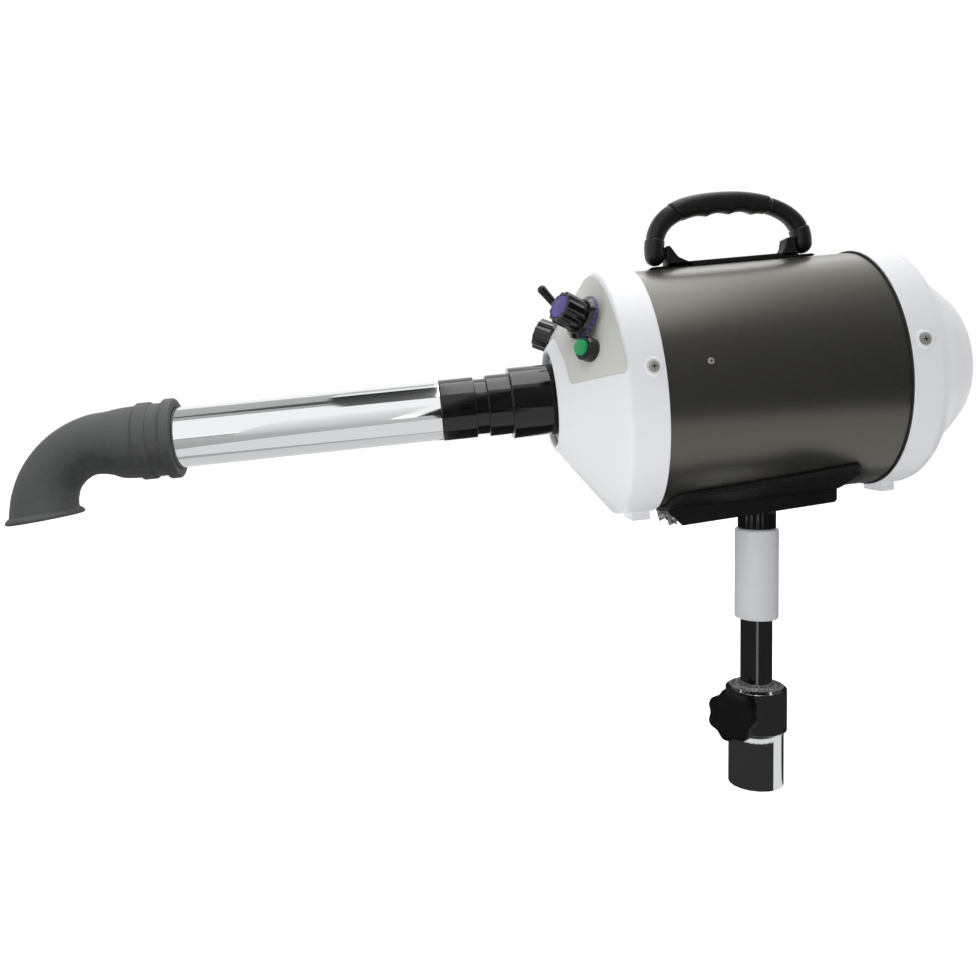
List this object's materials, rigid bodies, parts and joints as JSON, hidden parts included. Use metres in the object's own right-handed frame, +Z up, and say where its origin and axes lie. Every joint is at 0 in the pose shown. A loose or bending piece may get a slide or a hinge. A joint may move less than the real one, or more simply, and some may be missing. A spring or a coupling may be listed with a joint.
{
  "type": "pet dryer",
  "caption": "Blower for drying animals on a height-adjustable pole: round body, folding handle, nose with controls, long tube with an elbow nozzle.",
  "frame": {"origin": "centre of the pole's lower end, on its flat end face", "axes": "+Z up along the pole; the nozzle blows towards -X and the intake is at +X; the controls face -Y"},
  "size_m": [0.7529, 0.1954, 0.486],
  "materials": {
    "chrome": "mirror-bright chrome plating on steel tube",
    "steel": "bright zinc-plated steel",
    "aluminium": "pressed sheet aluminium",
    "bronze_paint": "satin dark bronze paint on rolled sheet",
    "black_paint": "semi-gloss black powder coat",
    "white_plastic": "white moulded plastic, low sheen",
    "grey_plastic": "light grey plastic",
    "black_plastic": "black moulded plastic, matt",
    "gloss_black": "black moulded plastic, glossy",
    "rubber": "charcoal rubber, matt",
    "purple_plastic": "purple plastic cap",
    "green_plastic": "green translucent-looking button cap",
    "foam": "dark open-cell filter foam",
    "mica": "mica board",
    "heater_wire": "heat-tinted resistance wire",
    "board": "green circuit board"
  },
  "bodies": {
    "stand": {"pole_tube": "chrome", "pole_end_plug": "black_plastic", "pole_collar": "chrome", "collar_bush": "black_plastic"},
    "clamp_shoe": {"clamp_pad": "rubber"},
    "clamp": {"clamp_screw": "steel", "clamp_knob": "black_plastic"},
    "lift": {"lift_rod": "chrome", "rod_guide": "black_plastic", "rod_sleeve": "grey_plastic"},
    "swivel": {"swivel_bush": "gloss_black", "tilt_tongue": "steel"},
    "head": {"tilt_pin": "steel", "cradle_rail": "black_paint", "rail_insert": "steel", "drum_shell": "bronze_paint", "rear_seal": "rubber", "front_cover": "white_plastic", "rear_cover": "white_plastic", "intake_grille": "white_plastic", "filter_foam": "foam", "cable_gland": "gloss_black", "control_label": "grey_plastic", "nose_screw_1": "steel", "nose_screw_2": "steel", "tail_screw_1": "steel", "tail_screw_2": "steel", "shell_screw": "steel", "handle_base": "black_plastic", "handle_pin_front": "steel", "handle_pin_rear": "steel", "speed_control": "steel", "heat_control": "steel", "button_bezel": "gloss_black", "toggle_body": "steel", "fan_housing": "steel", "fan_mount_ring": "rubber", "motor": "steel", "motor_mount": "rubber", "air_cone": "black_plastic", "heater_frame": "mica", "heater_coil": "heater_wire", "thermal_cutout": "steel", "control_board": "board", "ion_module": "black_plastic", "outlet_ring": "grey_plastic", "coupling_sleeve": "gloss_black"},
    "handle": {"handle_grip": "black_plastic"},
    "speed_knob": {"speed_knob": "gloss_black", "speed_knob_cap": "purple_plastic"},
    "heat_knob": {"heat_knob": "gloss_black"},
    "toggle_lever": {"toggle_lever": "gloss_black"},
    "ion_button": {"ion_button": "green_plastic"},
    "rotor": {"motor_shaft": "steel", "impeller": "aluminium"},
    "tube": {"tube_collar": "gloss_black", "extension_tube": "chrome"},
    "elbow": {"elbow_nozzle": "rubber"}
  },
  "joints": [
    {"name": "height_slide", "type": "slide", "parent": "stand", "child": "lift", "axis": [0, 0, 1], "range_m": [-0.008, 0.03]},
    {"name": "clamp_travel", "type": "slide", "parent": "stand", "child": "clamp_shoe", "axis": [-0.766, -0.6428, 0], "range_m": [0, 0.00055]},
    {"name": "clamp_turn", "type": "hinge", "parent": "clamp_shoe", "child": "clamp", "pos_m": [-0.02451, -0.02057, 0.064], "axis": [-0.766, -0.6428, 0], "range_deg": [0, 150]},
    {"name": "head_swivel", "type": "hinge", "parent": "lift", "child": "swivel", "pos_m": [0, 0, 0.21], "axis": [0, 0, 1], "continuous": true},
    {"name": "head_tilt", "type": "hinge", "parent": "swivel", "child": "head", "pos_m": [0, 0, 0.2293], "axis": [0, 1, 0], "range_deg": [-20, 30]},
    {"name": "handle_fold", "type": "hinge", "parent": "head", "child": "handle", "pos_m": [-0.02235, 0, 0.43911], "axis": [0.9944, 0, 0.1059], "range_deg": [-90, 90]},
    {"name": "speed_knob_turn", "type": "hinge", "parent": "head", "child": "speed_knob", "pos_m": [-0.15087, -0.05344, 0.37208], "axis": [-0.8452, -0.414, 0.3381], "range_deg": [-135, 135]},
    {"name": "heat_knob_turn", "type": "hinge", "parent": "head", "child": "heat_knob", "pos_m": [-0.15624, 0.04836, 0.36488], "axis": [-0.8446, 0.4199, 0.3323], "range_deg": [-135, 135]},
    {"name": "toggle_throw", "type": "hinge", "parent": "head", "child": "toggle_lever", "pos_m": [-0.16265, 0.00363, 0.38527], "axis": [0.0055, 0.9986, -0.052], "range_deg": [-36, 0]},
    {"name": "button_press", "type": "slide", "parent": "head", "child": "ion_button", "axis": [-0.828, -0.5319, 0.1773], "range_m": [-0.0025, 0], "stiffness_N_per_m": 500, "springref_m": 0.002},
    {"name": "rotor_spin", "type": "hinge", "parent": "head", "child": "rotor", "pos_m": [-0.01091, 0, 0.33172], "axis": [0.9944, 0, 0.1059], "continuous": true},
    {"name": "nozzle_pull", "type": "slide", "parent": "head", "child": "tube", "axis": [-0.9944, 0, -0.1059], "range_m": [0, 0.018]},
    {"name": "elbow_turn", "type": "hinge", "parent": "tube", "child": "elbow", "pos_m": [-0.45838, 0, 0.28406], "axis": [0.9944, 0, 0.1059], "continuous": true}
  ],
  "couplings": [
    {"joint": "clamp_travel", "follows": "clamp_turn", "m_per_rad": 0.000199}
  ]
}
